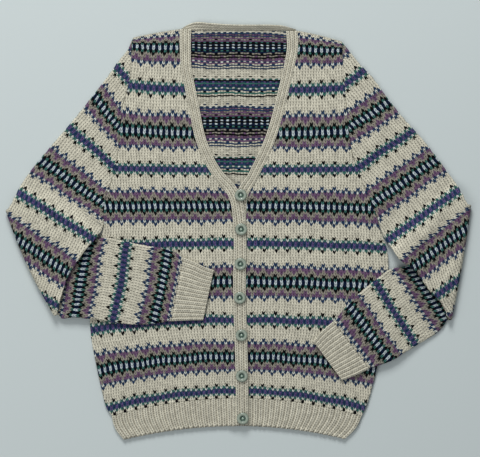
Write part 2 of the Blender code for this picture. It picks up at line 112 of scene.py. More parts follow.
# One line for each course that shapes the body. mid_y is the course's height at the middle of
# the fronts, the sides are the panels' outer edges, and the edges are where each front meets its
# band.
BODY = table(
    "course mid_y right_x right_y right_edge left_x left_y left_edge band",
    (0, -250.5, -189.5, -277.5, -4, 184, -277.5, 15, 18.8),
    (3, -240, -197, -266, -4, 190, -265.5, 15, 18.8),
    (10, -214, -205, -238, -4.5, 199.5, -237, 14.5, 18.8),
    (17, -188, -211, -210, -5, 206.5, -208.5, 14, 18.8),
    (31, -133, -222, -148, -7, 217, -145.5, 12, 18.8),
    (45, -76, -219.5, -85.5, -8, 223, -84, 11, 18.8),
    (59, -18.5, -211, -24, -7, 222, -25.5, 12, 18.8),
    (66, 9.5, -201.5, 7.5, -8, 212.5, 2, 11, 18.8),
    (71.5, 31.5, -201.5, 30, -10, 205, 28, 12, 18.8),
    (75.3, 46.5, -200, 46, -13, 199, 42, 13, 18),
    (78.3, 58.5, -196.5, 59.5, -19, 193, 57.5, 16.5, 17),
    (82.2, 73.5, -190.5, 74, -32, 185.5, 73.5, 26, 16),
    (87, 91.5, -184.5, 94, -44.5, 178.5, 93, 35, 15.5),
    (94, 118.5, -180.5, 121.5, -58, 170, 119, 48, 15.5),
    (101, 145.5, -177, 152, -67, 165.5, 149, 58.5, 15.5),
    (108, 178.5, -174, 185, -73.5, 162.5, 182, 68, 15.5),
    (115, 210, -165.5, 217.5, -80, 159.5, 214, 75.5, 15.5),
    (122, 241.5, -161, 249, -86, 157, 244.5, 83, 15.5),
    (129, 273, -160, 277, -88, 155.5, 270, 89, 16.5),
    (137, 308, -158, 289.5, -88, 155, 283.5, 88.5, 17),
)
# Each course's height at the middle of the back, as seen inside the neck.
BACK_COURSES = (
    (0, -250.5), (31, -133.0), (59, -18.5), (79.3, 69.0), (84.3, 85.5), (89.3, 108.8),
    (94.3, 127.5), (107.3, 185.2), (112.3, 202.5), (117.3, 225.8), (122.3, 244.0), (135.3, 296.2),
    (137, 302.0),
)
ARMPIT_COURSE = 66
SHOULDER_COURSE = 137

# Where the first motif's middle stitch lies on each front, and how wide a stitch is there.
WALES = table(
    "course right_start right_pitch left_start left_pitch",
    (0, -17.0, 3.82, 19.8, 3.86),
    (17, -17.3, 3.96, 20.1, 3.95),
    (31, -21.3, 4.26, 20.3, 4.35),
    (45, -21.5, 4.28, 20.3, 4.46),
    (59, -21.9, 4.24, 20.3, 4.39),
    (73, -24.0, 4.20, 20.6, 4.39),
    (80, -28.0, 4.20, 19.0, 4.45),
    (87, -30.3, 4.20, 17.7, 4.53),
    (101, -31.0, 4.23, 19.0, 4.46),
    (115, -29.0, 4.27, 23.1, 4.24),
    (129, -24.6, 4.26, 22.5, 4.24),
    (137, -24.6, 4.26, 22.5, 4.24),
)
BACK_START = 0.85
BACK_PITCH = 4.29
FRONT_WALES = (-5, 54)
BACK_WALES = (-56, 56)
OPEN_NECK_WALES = 22
OPEN_NECK_COURSE = 76

# Outlines of the folded sleeves from above. outer and inner run from the body to the elbow,
# top and bottom from the elbow to the cuff. tuck is the forearm's hidden edge, and climb says
# how far before it the upper arm starts and ends its rise, at the elbow and at the armpit.
# courses gives the length along the outer and the inner edge at which a course meets them.
Sleeve = namedtuple(
    "Sleeve",
    "outer inner crease bow tuck climb top bottom cuff_top cuff_bottom roll courses",
)
SLEEVES = {
    "right": Sleeve(
        outer=((-158, 289.5), (-166, 272), (-181, 253.5), (-200, 226.5), (-226, 193.5),
               (-260, 151.5), (-295, 111), (-325, 70.5)),
        inner=((-201.5, 7.5), (-204.3, 1), (-207.6, -6), (-213, -12), (-222, -21),
               (-237, -41), (-256, -73.5), (-265, -100.5)),
        crease=((-349.5, 31.0), (-276.0, -128.0)),
        bow=5.0,
        tuck=((-346, 28.5), (-212, -10.5)),
        climb=((50, 22), (21, 3)),
        top=((-212, -10.5), (-193, -10.5), (-170, -15), (-133, -22.5), (-100, -29), (-83, -39)),
        bottom=((-268, -129), (-245, -129), (-223, -132), (-178, -138), (-148, -140.5),
                (-101, -135)),
        cuff_top=((-83, -39), (-65, -46.5), (-50, -54), (-37, -58.5)),
        cuff_bottom=((-101, -135), (-80, -134), (-66, -133.5), (-53, -133.5)),
        roll=((-212, -10.5), (-272, -124)),
        courses=((-10, 0, 0), (3, 49, 64), (17, 104, 139), (31, 165, 196), (45, 230, 254),
                 (59, 289, 310), (73, 350, 373), (87, 409, 424), (101, 466, 474),
                 (115, 520, 532), (129, 578, 594), (136, 602, 620)),
    ),
    "left": Sleeve(
        outer=((155, 283.5), (166, 270), (179, 253.5), (198, 234), (221, 202.5), (250, 166.5),
               (283, 129), (311, 91.5), (332, 61.5)),
        inner=((212.5, 2), (215.6, -6), (219.4, -13), (223.6, -18.5), (230, -27.5),
               (239.5, -42), (250, -51), (265, -61.5),
               (277, -78), (287, -91.5), (302, -106.5)),
        crease=((349.0, 39.0), (319.5, -134.0)),
        bow=1.5,
        tuck=((347, 36), (245, -54)),
        climb=((50, 22), (50, 22)),
        top=((250, -52.5), (224, -58.5), (212, -67.5), (197, -78.5), (167, -106.5), (142, -135)),
        bottom=((302, -148.5), (287, -160), (272, -168), (257, -177), (227, -195), (196, -206)),
        cuff_top=((142, -135), (131, -144), (121, -154), (112, -165)),
        cuff_bottom=((196, -206), (184, -212), (170, -218), (155, -223.5)),
        roll=((226, -20), (313, -122)),
        courses=((-10, 0, 0), (3, 53, 65), (17, 114, 129), (31, 170, 190), (45, 225, 248),
                 (59, 281, 308), (73, 337, 363), (87, 396, 418), (101, 449, 472),
                 (115, 503, 532), (129, 554, 577), (136, 588, 610)),
    ),
}
SLEEVE_PITCH = 4.15
SLEEVE_WALES = 52
MOTIF_START = 2
SEAM_FADE = (-4.0, 16.0)
SOFT_MARGIN = 14.0
LINING_COLUMNS = 28
LINING_ROWS = 35
CUFF_LINING = (24, 8)

# The upper edge of the band behind the neck, and how much of its full height it has there.
NECK_STATIONS = table(
    "seam_x top_x top_y rise",
    (-86, -86, 302.6, 0),
    (-80, -80, 307, 0.2),
    (-72, -73, 310.5, 0.5),
    (-62, -64, 313, 0.8),
    (-42, -43, 311.5, 1),
    (-14, -14, 309.5, 1),
    (20, 20, 309, 1),
    (47, 48, 309, 1),
    (66, 68, 307.5, 0.7),
    (76, 77, 305, 0.4),
    (86, 86, 302.4, 0),
)

# Soft creases in the cloth. A negative height is a trough.
CREASES = table(
    "start end width height",
    ((92, -84), (95, -182), 4.5, -0.9),
    ((101, -90), (103, -165), 6, 1.5),
    ((84, -100), (86, -150), 7, 1),
    ((107, 130), (106, 100), 4, -0.9),
    ((115, 128), (113, 98), 5, 1),
    ((183, 4), (197, -42), 6, 1.6),
    ((172, -2), (186, -44), 5, -0.9),
    ((-110, 70), (-150, 22), 8, 1.2),
    ((-124, 76), (-166, 24), 7, -0.8),
    ((-60, -186), (-72, -244), 7, 1.1),
    ((-150, -178), (-158, -240), 8, 1.2),
    ((150, -180), (146, -240), 8, 1.2),
    ((-300, 52), (-246, -6), 7, 1.8),
    ((-288, 58), (-236, 4), 6, -0.9),
    ((-322, -8), (-268, -58), 7, 1.6),
    ((-196, 26), (-222, 58), 7, 1.4),
    ((304, 34), (258, -26), 7, 1.8),
    ((316, 22), (272, -34), 6, -0.9),
    ((332, -34), (298, -82), 7, 1.6),
    ((208, 22), (236, 60), 7, 1.4),
    ((-218, 176), (-184, 116), 9, 1.2),
    ((220, 176), (190, 112), 9, 1.2),
    ((-196, -40), (-188, -120), 8, 1.2),
    ((250, -84), (222, -176), 8, 1.2),
)

# Buttons, from the V down to the hem
BUTTON_XY = (
    (3.5, 53.5), (4.0, 2.5), (3.0, -49.5), (2.0, -100.0), (4.5, -156.0), (5.0, -217.0),
    (6.5, -280.5),
)
BUTTON_RADIUS = 9.0
BUTTON_BASE = FRONT_Z + LAYER + WALL + GAP
BUTTON_TURNS = 64
RESIN = {"Roughness": 0.28, "Coat Weight": 0.4, "Coat Roughness": 0.12, "IOR": 1.5}
# From the middle of a button to its rim. The light middle is a painted highlight.
BUTTON_COLOURS_AND_HIGHLIGHT = (
    (0.0, (196, 210, 196)), (0.12, (150, 172, 154)), (0.22, (58, 84, 70)), (0.40, (52, 78, 66)),
    (0.50, (128, 144, 130)), (0.70, (158, 168, 152)), (0.93, (134, 146, 132)),
    (1.0, (100, 118, 104)),
)
BUTTON_PROFILE = (
    (0.0, 1.9), (0.7, 1.88), (1.4, 1.7), (1.9, 1.25), (2.3, 1.02), (2.9, 0.95), (3.5, 1.05),
    (3.95, 1.6), (4.3, 2.2), (4.9, 2.62), (5.6, 2.86), (6.4, 3.0), (7.3, 2.95), (8.2, 2.65),
    (8.75, 2.15), (BUTTON_RADIUS, 1.5), (8.75, 0.8), (8.1, 0.2), (7.4, 0.03), (6.8, 0.0),
    (0.0, 0.0),
)

# The chart of one repeat, from the bottom row up: the yarn of the motif's middle stitch, of the
# stitches beside it and of the stitch between two motifs.
CHART = (
    "KCC PGP NLN NLN PGP KCC CCC CCC CCC CCC "
    "NCC PNP TMM TTM KTT GKG WDW WDW GKG KTT TTM TMM PNP NCC CCC CCC CCC CCC"
).split()
REPEAT = 4
YARNS = {
    "C": (233, 228, 207),
    "P": (226, 230, 220),
    "K": (9, 10, 14),
    "G": (66, 118, 108),
    "N": (42, 66, 98),
    "M": (118, 90, 120),
    "L": (106, 90, 138),
    "D": (18, 34, 62),
    "T": (162, 156, 143),
    "W": (216, 229, 232),
}
# The cream of a sunk purl stitch, darkened as painted shade
PURL_SHADED_CREAM = (172, 165, 145)

# Wool. The colour left in a hollow under the painted shade, how far a dark yarn spreads with its
# painted shadow, and where a row's bumps begin
SHADED_HOLLOW_LIGHT = 0.03
YARN_SPREAD_AND_SHADOW = 0.1
BUMP_FROM = 0.5
YARN_RELIEF = 0.0006
WOOL = {"Roughness": 0.9, "Sheen Weight": 0.05, "Specular IOR Level": 0.06}


# Small helpers for numbers and curves


def mix(a, b, t):
    return a + (b - a) * t


def smooth_step(low, high, value):
    t = np.clip((value - low) / (high - low), 0, 1)
    return t * t * (3 - 2 * t)


def curve_through(keys, values, at):
    """Smooth values between the lines of a table."""
    keys = np.asarray(keys, float)
    values = np.asarray(values, float)
    slopes = np.gradient(values, keys, axis=0)
    at = np.clip(at, keys[0], keys[-1])
    index = np.clip(np.searchsorted(keys, at, side="right") - 1, 0, len(keys) - 2)
    span = keys[index + 1] - keys[index]
    t = (at - keys[index]) / span
    if values.ndim > 1:
        span, t = span[..., None], t[..., None]
    start, end = values[index], values[index + 1]
    leave, arrive = slopes[index] * span, slopes[index + 1] * span
    return (
        start * (2 * t ** 3 - 3 * t ** 2 + 1) + leave * (t ** 3 - 2 * t ** 2 + t)
        + end * (3 * t ** 2 - 2 * t ** 3) + arrive * (t ** 3 - t ** 2)
    )


def column(rows, name, at):
    """A column of a table, smooth between the values of its first column."""
    return curve_through([row[0] for row in rows], [getattr(row, name) for row in rows], at)


def lengths(points):
    """Length along a line of points, at each of them."""
    steps = np.linalg.norm(np.diff(points, axis=0), axis=1)
    return np.concatenate([[0.0], np.cumsum(steps)])


def smooth_line(points, step=2.0):
    """Close points on a smooth line through a few."""
    points = np.asarray(points, float)
    along = lengths(points)
    return curve_through(along, points, np.linspace(0, along[-1], max(2, int(along[-1] / step))))


def straight(at, keys, rows):
    """Rows of a list, taken straight between its keys."""
    return np.stack([np.interp(at, keys, values) for values in np.transpose(rows)], -1)


def on_line(points, at):
    """The points of a line at lengths along it."""
    return straight(at, lengths(points), points)


def beside(line, x, y):
    """Share along a line from its start to its end, and the distance to its right."""
    (ax, ay), (bx, by) = line
    dx, dy = bx - ax, by - ay
    length = math.hypot(dx, dy)
    along = ((x - ax) * dx + (y - ay) * dy) / length ** 2
    return along, ((x - ax) * dy - (y - ay) * dx) / length


def stacked(*values):
    """Points or places from their coordinates."""
    return np.stack(np.broadcast_arrays(*values), -1)


def apart(points):
    """The coordinates of points."""
    return np.moveaxis(points, -1, 0)


def soft_creases(x, y):
    """Height that the cloth's creases add at a place."""
    height = np.zeros_like(x)
    for crease in CREASES:
        t, away = beside((crease.start, crease.end), x, y)
        bend = away + crease.width * 0.5 * np.sin(3.0 * t)
        fade = smooth_step(-0.25, 0.3, t) * (1 - smooth_step(0.6, 1.25, t))
        height += crease.height * fade * np.exp(-((bend / crease.width) ** 2))
    return height


def roll(sleeve, x, y):
    """How far the upper arm's edge stands up where it crosses the forearm."""
    t, away = beside(sleeve.roll, x, y)
    ends = smooth_step(-0.05, 0.25, t) * (1 - smooth_step(0.8, 1.02, t))
    return ROLL_HEIGHT * ends * np.exp(-((away / ROLL_WIDTH) ** 2)) * (1 + 0.25 * np.sin(9 * t))


def ease(x, y):
    """Slow unevenness of cloth that isn't pressed."""
    return 0.16 * np.sin(x / 23 + 1.3 * np.sin(y / 37)) + 0.14 * np.sin(y / 19 + np.sin(x / 41))


def edge_drop(distance):
    """How far the knit falls away at a panel's edge."""
    return EDGE_DROP * (1 - smooth_step(0, EDGE_ROUND, distance))


def rounding(distance):
    """Share of its full height that a flat tube has at a distance from its edge."""
    return np.sqrt(1 - (1 - np.clip(distance / TUBE_ROUND, 0, 1)) ** 2)


# Small helpers for meshes


def grid_faces(shape, start=0, ring=False):
    """Triangles of a grid of points, rows by columns. A ring closes its rows."""
    index = np.arange(shape[0] * shape[1]).reshape(shape) + start
    if ring:
        index = np.concatenate([index, index[:, :1]], axis=1)
    a, b = index[:-1, :-1].ravel(), index[:-1, 1:].ravel()
    c, d = index[1:, 1:].ravel(), index[1:, :-1].ravel()
    return np.concatenate([np.stack([a, b, c], 1), np.stack([a, c, d], 1)])


def bridge(points, first, second):
    """Triangles between two edges that run side by side."""
    def shares(edge):
        along = lengths(points[edge])
        return along / max(along[-1], 1e-9)

    at_first, at_second = shares(first), shares(second)
    i = j = 0
    faces = []
    while i < len(first) - 1 or j < len(second) - 1:
        ends = j == len(second) - 1
        if ends or (i < len(first) - 1 and at_first[i + 1] <= at_second[j + 1]):
            faces.append((first[i], first[i + 1], second[j]))
            i += 1
        else:
            faces.append((first[i], second[j + 1], second[j]))
            j += 1
    return np.array(faces)


def rims(shape, start):
    """The four edges of a grid, as lists of point numbers."""
    index = np.arange(shape[0] * shape[1]).reshape(shape) + start
    return index[0], index[-1], index[:, 0], index[:, -1]


def finish_piece(name, points, places, faces, kinds, finishes, node, slot):
    """Makes a named piece from points in millimetres, with the knit's places as its map."""
    keys = np.round(points * MM / WELD).astype(np.int64)
    _, kept, new = np.unique(keys, axis=0, return_index=True, return_inverse=True)
    faces = new.ravel()[faces]
    whole = (faces != np.roll(faces, 1, axis=1)).all(axis=1)
    faces, kinds = faces[whole], kinds[whole]
    points, places = points[kept], places[kept]
    mesh = bpy.data.meshes.new(name)
    mesh.vertices.add(len(points))
    mesh.vertices.foreach_set("co", (points * MM).astype(np.float32).ravel())
    mesh.loops.add(faces.size)
    mesh.loops.foreach_set("vertex_index", faces.astype(np.int32).ravel())
    mesh.polygons.add(len(faces))
    mesh.polygons.foreach_set("loop_start", np.arange(0, faces.size, 3, dtype=np.int32))
    mesh.polygons.foreach_set("material_index", kinds.astype(np.int32))
    mesh.update(calc_edges=True)
    mesh.validate()
    knit_map = mesh.uv_layers.new(name="stitches")
    corners = np.zeros(len(mesh.loops), np.int32)
    mesh.loops.foreach_get("vertex_index", corners)
    knit_map.data.foreach_set("uv", places[corners].astype(np.float32).ravel())
    work = bmesh.new()
    work.from_mesh(mesh)
    loose = [v for v in work.verts if not v.link_faces]
    bmesh.ops.delete(work, geom=loose, context="VERTS")
    bmesh.ops.recalc_face_normals(work, faces=work.faces)
    work.to_mesh(mesh)
    work.free()
    mesh.shade_smooth()
    for finish in finishes:
        mesh.materials.append(finish)
    piece = bpy.data.objects.new(name, mesh)
    bpy.context.scene.collection.objects.link(piece)
    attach(piece, "root")
    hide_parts(node)
    return piece


def wall(node, outside, inside, finishes, slot, ends=(0, 1, 2, 3), ring=False):
    """A closed piece of cloth between two faces, each with its own stitches. The faces meet at
    the ends that are given."""
    points = np.concatenate([grid.reshape(-1, 3) for grid, _ in (outside, inside)])
    places = np.concatenate([grid.reshape(-1, 2) for _, grid in (outside, inside)])
    shapes = outside[0].shape[:2], inside[0].shape[:2]
    start = shapes[0][0] * shapes[0][1]
    parts = [grid_faces(shapes[0], 0, ring), grid_faces(shapes[1], start, ring)]
    for end in ends:
        first, second = rims(shapes[0], 0)[end], rims(shapes[1], start)[end]
        if ring:
            first, second = np.append(first, first[0]), np.append(second, second[0])
        parts.append(bridge(points, first, second))
    faces = np.concatenate(parts)
    kinds = np.zeros(len(faces), int)
    kinds[len(parts[0]):] = len(finishes) - 1
    return finish_piece(f"{node}_knit", points, places, faces, kinds, finishes, node, slot)


def tube(node, outside, inside, finishes, slot, ends):
    """A closed tube of cloth that lies flat. Its outside and inside each hold their upper face,
    their lower face and the places of both."""
    grids = [
        [np.concatenate([upper, lower[:, ::-1]], axis=1) for upper, lower in (faces, (places, places))]
        for *faces, places in (outside, inside)
    ]
    return wall(node, *grids, finishes, slot, ends, ring=True)


# Finishes


def linear(colour):
    """A colour given as in a paint program, for the shader."""
    return tuple(
        c / 255 / 12.92 if c / 255 <= 0.04045 else ((c / 255 + 0.055) / 1.055) ** 2.4
        for c in colour
    ) + (1.0,)


class Varying:
    """A number that varies over a surface. Arithmetic with it adds Math nodes."""

    def __init__(self, finish, socket):
        self.finish = finish
        self.socket = socket

    def maths(self, operation, *values):
        return self.finish.node("ShaderNodeMath", {"operation": operation}, dict(enumerate(values)))

    def __add__(self, other):
        return self.maths("ADD", self, other)

    def __sub__(self, other):
        return self.maths("SUBTRACT", self, other)

    def __rsub__(self, other):
        return self.maths("SUBTRACT", other, self)

    def __mul__(self, other):
        return self.maths("MULTIPLY", self, other)

    def __truediv__(self, other):
        return self.maths("DIVIDE", self, other)

    def __mod__(self, other):
        return self.maths("FLOORED_MODULO", self, other)

    def __gt__(self, other):
        return self.maths("GREATER_THAN", self, other)

    def __pow__(self, other):
        return self.maths("POWER", self, other)

    def __abs__(self):
        return self.maths("ABSOLUTE", self)

    __radd__ = __add__
    __rmul__ = __mul__

    def floor(self):
        return self.maths("FLOOR", self)

    def sine(self):
        return self.maths("SINE", self)


class Finish:
    """One material, with the ways to build its nodes."""

    def __init__(self, name, looks):
        self.material = bpy.data.materials.new(name)
        self.material.use_nodes = True
        self.tree = self.material.node_tree
        self.shader = self.tree.nodes["Principled BSDF"]
        for socket, value in looks.items():
            self.shader.inputs[socket].default_value = value

    def node(self, kind, settings=None, sockets=None, output=0):
        made = self.tree.nodes.new(kind)
        for name, value in (settings or {}).items():
            if name == "stops":
                self.set_stops(made.color_ramp, value)
            else:
                setattr(made, name, value)
        for name, value in (sockets or {}).items():
            if isinstance(value, Varying):
                self.tree.links.new(value.socket, made.inputs[name])
            else:
                made.inputs[name].default_value = value
        return Varying(self, made.outputs[output])

    def set_stops(self, ramp, stops):
        """Stops are pairs of a place and a colour. The first word of stops is how they join."""
        ramp.interpolation = stops[0]
        while len(ramp.elements) > 1:
            ramp.elements.remove(ramp.elements[-1])
        ramp.elements[0].position = stops[1][0]
        ramp.elements[0].color = stops[1][1]
        for place, colour in stops[2:]:
            ramp.elements.new(place).color = colour

    def mixed(self, factor, first, second, blend="MIX"):
        """One colour over another."""
        settings = {"data_type": "RGBA", "blend_type": blend}
        return self.node("ShaderNodeMix", settings, {0: factor, 6: first, 7: second}, 2)

    def shaded(self, colour, factor):
        """A colour made lighter or darker by a number."""
        settings = {"operation": "SCALE"}
        return self.node("ShaderNodeVectorMath", settings, {0: colour, "Scale": factor})

    def feed(self, name, value):
        self.tree.links.new(value.socket, self.shader.inputs[name])

    def relief(self, height, strength):
        """Yarn too fine for the mesh, as a bump."""
        sockets = {"Height": height, "Strength": strength, "Distance": YARN_RELIEF}
        self.feed("Normal", self.node("ShaderNodeBump", None, sockets))

    def yarns(self, row, letters):
        """The yarn of each row of a column of the chart."""
        return self.node("ShaderNodeValToRGB", {"stops": yarn_stops(letters)}, {0: row})

    def stitches(self):
        """The wale and the course of a place."""
        knit_map = self.node("ShaderNodeUVMap", {"uv_map": "stitches"})
        return [self.node("ShaderNodeSeparateXYZ", None, {0: knit_map}, axis) for axis in (0, 1)]

    def pair(self, x, y):
        return self.node("ShaderNodeCombineXYZ", None, {0: x, 1: y})

    def random(self, stitch, row):
        """A number from 0 to 1 for each stitch."""
        place = self.pair(stitch + 0.37, row + 0.61)
        return self.node("ShaderNodeTexWhiteNoise", {"noise_dimensions": "3D"}, {0: place})

    def cloud(self, place, scale=1.0, detail=2.0):
        sockets = {"Vector": place, "Scale": scale, "Detail": detail}
        return self.node("ShaderNodeTexNoise", {"noise_dimensions": "3D"}, sockets)


def knit_surface(finish, colour, wale, course):
    """The right side of a knit: a tone for each stitch, painted shade in the hollows beside it and
    between the rows, and fibres.
    """
    stitch = (wale + 0.5).floor()
    across = abs(wale - stitch)
    legs = abs((wale * (2 * math.pi)).sine())
    gap = abs((course * math.pi + math.pi / 2).sine())
    # crown is painted shade: it darkens the colour between a stitch's legs and between the rows, and
    # it also shapes the bump.
    crown = (1.0 - (1.0 - across * 2.0) * gap * 0.62) * (legs * 0.25 + 0.75)
    tone = finish.random(stitch, course.floor()) * 0.32 + 0.92
    fibre = finish.cloud(finish.pair(wale * 9.0, course * 5.0))
    # The painted shade keeps a little of the colour in the deepest hollow.
    shade = tone * (crown ** 1.8 * (1.0 - SHADED_HOLLOW_LIGHT) + SHADED_HOLLOW_LIGHT) * (fibre * 0.36 + 0.82)
    twist = ((course + across * 1.4) * 18.0).sine() * 0.5 + 0.5
    finish.feed("Base Color", finish.shaded(colour, shade))
    finish.feed("Roughness", fibre * 0.12 + 0.84)
    finish.relief(crown * 0.5 + twist * 0.18 + fibre * 0.4, 0.35)


def yarn_stops(letters):
    """Ramp stops for the yarns of a column of the chart, one for each change of yarn."""
    return ["CONSTANT"] + [
        (row / len(letters), linear(YARNS[letter])) for row, letter in enumerate(letters)
        if row == 0 or letter != letters[row - 1]
    ]


def chart_row(course):
    """The middle of a course's row, as a share of the chart's height."""
    count = float(len(CHART))
    return ((course.floor() % count) + 0.5) / count


def charted(finish, wale, course):
    """The colour that the chart gives a stitch."""
    row = chart_row(course)
    stitch = (wale + 0.5).floor()
    from_middle = abs((stitch + REPEAT / 2) % float(REPEAT) - REPEAT / 2)
    middle, near, between = (finish.yarns(row, [line[k] for line in CHART]) for k in range(3))
    motif = finish.mixed(from_middle > 0.5, middle, near)
    return finish.mixed(from_middle > 1.5, motif, between)


def darker_yarn(line):
    return min(line, key=lambda yarn: sum(YARNS[yarn]))


def fair_isle_finish():
    """The darker yarns spread a little over the lighter ones beside them: partly the yarn's own
    spread, partly painted shadow of the dark stitches on their neighbours.
    """
    finish = Finish("fair isle wool, right side", WOOL)
    wale, course = finish.stitches()
    # The darker of two shifted samples of the chart gives each dark stitch its spread and its painted
    # shadow over lighter neighbours.
    one, other = (charted(finish, wale + s, course + s) for s in (YARN_SPREAD_AND_SHADOW, -YARN_SPREAD_AND_SHADOW))
    knit_surface(finish, finish.mixed(1.0, one, other, "DARKEN"), wale, course)
    return finish.material


def wrong_side_finish():
    """Each row shows its darker yarn drawn across, and above it the bumps of the row below. Painted
    shade darkens the grooves between the ridges, the sides of the bumps and the whole inside.
    """
    finish = Finish("fair isle wool, wrong side", WOOL | {"Roughness": 0.92})
    wale, course = finish.stitches()
    sag = finish.cloud(finish.pair(wale * 0.45, course * 0.8)) - 0.5
    level = course + sag * 0.5
    strand = finish.yarns(chart_row(level), [darker_yarn(line) for line in CHART])
    part = level % 1.0
    is_bump = part > BUMP_FROM
    colour = finish.mixed(is_bump, strand, charted(finish, wale, level - 1.0))
    edge = abs((part - is_bump * 0.5 - 0.25) / 0.25)
    stitch = (wale + 0.5).floor()
    # Darkening the sides of each bump is painted shade; the same number also rounds the bump's relief.
    rounded_bump_shade = 1.0 - (abs(wale - stitch) * 2.0) ** 3.0 * is_bump * 0.8
    # The low tone is painted shade of the inside lying under the front; its random part is each
    # stitch's own tone.
    tone = finish.random(stitch, level.floor()) * 0.4 + 0.66
    fibre = finish.cloud(finish.pair(wale * 6.0, course * 12.0))
    # ridge darkens the colour in the grooves between ridges as painted shade, and also shapes the
    # relief.
    ridge = (1.0 - edge ** 2.0 * 0.7) * rounded_bump_shade
    finish.feed("Base Color", finish.shaded(colour, tone * ridge * (fibre * 0.3 + 0.78)))
    finish.relief(ridge * 0.6 + fibre * 0.4, 0.5)
    return finish.material


def rib_finish():
    """Cream wool, with painted shade on the sunk purl stitches between the ribs."""
    finish = Finish("cream wool rib", WOOL)
    wale, course = finish.stitches()
    purl = (wale + 0.5).floor() % 2.0
    # The purl stitches take the darker cream: painted shade of the sunk stitches.
    cream = finish.mixed(purl * 0.5, linear(YARNS["C"]), linear(PURL_SHADED_CREAM))
    knit_surface(finish, cream, wale, course)
    return finish.material


def button_finish():
    """Cloudy sea-green resin, darker in the well round the middle, with a painted highlight in the
    middle.
    """
    finish = Finish("sea-green resin", RESIN)
    _, ring = finish.stitches()
    # The lightest stop, in the middle, is a painted highlight.
    stops = ["EASE"] + [(place, linear(colour)) for place, colour in BUTTON_COLOURS_AND_HIGHLIGHT]
    colour = finish.node("ShaderNodeValToRGB", {"stops": stops}, {0: ring})
    where = finish.node("ShaderNodeTexCoord", None, None, 3)
    swirl = finish.cloud(where, 240.0, 3.0)
    finish.feed("Base Color", finish.shaded(colour, swirl * 0.3 + 0.85))
    finish.feed("Roughness", swirl * 0.15 + 0.2)
    return finish.material


# Stitches on a panel


def knit_depth(wale, course):
    """How far the right side of the knit lies below the crest of a stitch's two legs."""
    across = np.abs(wale - np.round(wale))
    legs = np.abs(np.sin(2 * math.pi * wale))
    crown = legs + (1 - legs) * (1 - 2 * across) * 0.5
    rise = np.abs(np.sin(math.pi * course))
    return STITCH_DEPTH * (1 - crown * (0.7 + 0.3 * rise))


def purl_depth(wale, course):
    """The wrong side has two ridges in each course, its purl bumps and the floats."""
    course = course - PURL_OFFSET
    ridges = np.sin(2 * math.pi * course) ** 2
    bumps = 0.75 + 0.25 * np.cos(2 * math.pi * wale)
    return PURL_DEPTH * (1 - ridges * np.where(course % 1 > BUMP_FROM, bumps, 0.85))


def stitch_grid(ends, plan, wales, courses, chevron):
    """Places of a panel's stitches, cut off at its edges. Each course is a line of shallow Vs."""
    wale, course = np.meshgrid(wales, courses)
    low, high = ends(course)
    cut = (wale <= low) | (wale >= high)
    wale = np.clip(wale, low, high)
    inner = np.clip(np.minimum(course - courses[0], courses[-1] - course) / 3, 0, 1)
    lean = np.where(cut, 0.0, np.abs(wale - np.round(wale)) - 0.25 * inner)
    lean[0] = 0.0
    level = np.clip(course + chevron * lean + inner * wobble(wale, course), courses[0], courses[-1])
    x, y, rim = plan(wale + wobble(course * 0.9, wale) * (chevron > 0), level)
    return x, y, np.where(cut, 0.0, rim), wale, course, level


def wobble(a, b):
    """Small unevenness of hand-knitted stitches, in stitches."""
    slow = 0.22 * np.sin(0.37 * a + 1.9 * np.sin(0.11 * b)) * np.sin(0.21 * b + 0.6)
    return slow + 0.07 * np.sin(1.9 * a + 1.3 * np.sin(0.8 * b)) + 0.06 * np.sin(2.7 * a - 1.1 * b)


def steps(first, last, step):
    return np.arange(first, last + step / 2, step)


# Body


def right_lift(y, from_band=0.0):
    """Rise of the right band on the left one below the V, and of the front beside it."""
    below_v = 1 - smooth_step(BAND_LIFT_LOW_Y, BAND_LIFT_HIGH_Y, y)
    return LAYER * below_v * (1 - smooth_step(0, BAND_RAMP, from_band))


def bowed(x, middle, right, left):
    """Height of a row at x. It is level in the middle and bows to its two ends."""
    side_x, side_y = (np.where(x < 0, *places) for places in zip(right, left))
    return mix(middle, side_y, (x / side_x) ** 2)


def row_y(course, x, on_back=False):
    middle = curve_through(*zip(*BACK_COURSES), course) if on_back else column(BODY, "mid_y", course)
    right, left = ([column(BODY, f"{side}_{axis}", course) for axis in "xy"] for side in OUTWARD)
    return bowed(x, middle, right, left)


def panel(measures, height, out):
    """The ends of a panel's courses and the plan of its stitches. For a course, measures gives
    the first motif's place, a stitch's width and the panel's two edges."""
    def ends(course):
        start, pitch, near, far = measures(course)
        return out * (near - start) / pitch, out * (far - start) / pitch

    def plan(wale, course):
        start, pitch, near, far = measures(course)
        x = np.clip(start + out * wale * pitch, np.minimum(near, far), np.maximum(near, far))
        return x, height(course, x), np.minimum(np.abs(x - near), np.abs(x - far))

    return ends, plan


def build_front(side, knit):
    def measures(course):
        tables = (WALES, "start"), (WALES, "pitch"), (BODY, "edge"), (BODY, "x")
        return [column(rows, f"{side}_{name}", course) for rows, name in tables]

    def face(wale_step, course_step, top):
        ends, plan = panel(measures, row_y, OUTWARD[side])
        wales = steps(*FRONT_WALES, wale_step)
        courses = np.linspace(0, SHOULDER_COURSE, round(SHOULDER_COURSE / course_step) + 1)
        grid = stitch_grid(ends, plan, wales, courses, CHEVRON if top else 0.0)
        x, y, rim, wale, course, level = grid
        z = np.full_like(x, FRONT_Z)
        if side == "right":
            z += right_lift(y, column(BODY, "right_edge", level) - x)
        if top:
            z += WALL + soft_creases(x, y) + ease(x, y) - knit_depth(wale, course) - edge_drop(rim)
        return stacked(x, y, z), stacked(wale, course)

    top = face(STITCH_STEP, COURSE_STEP, True)
    bottom = face(PLAIN_STEP, PLAIN_STEP, False)
    return wall(f"{side}_front", top, bottom, [knit], "fair_isle_knit")


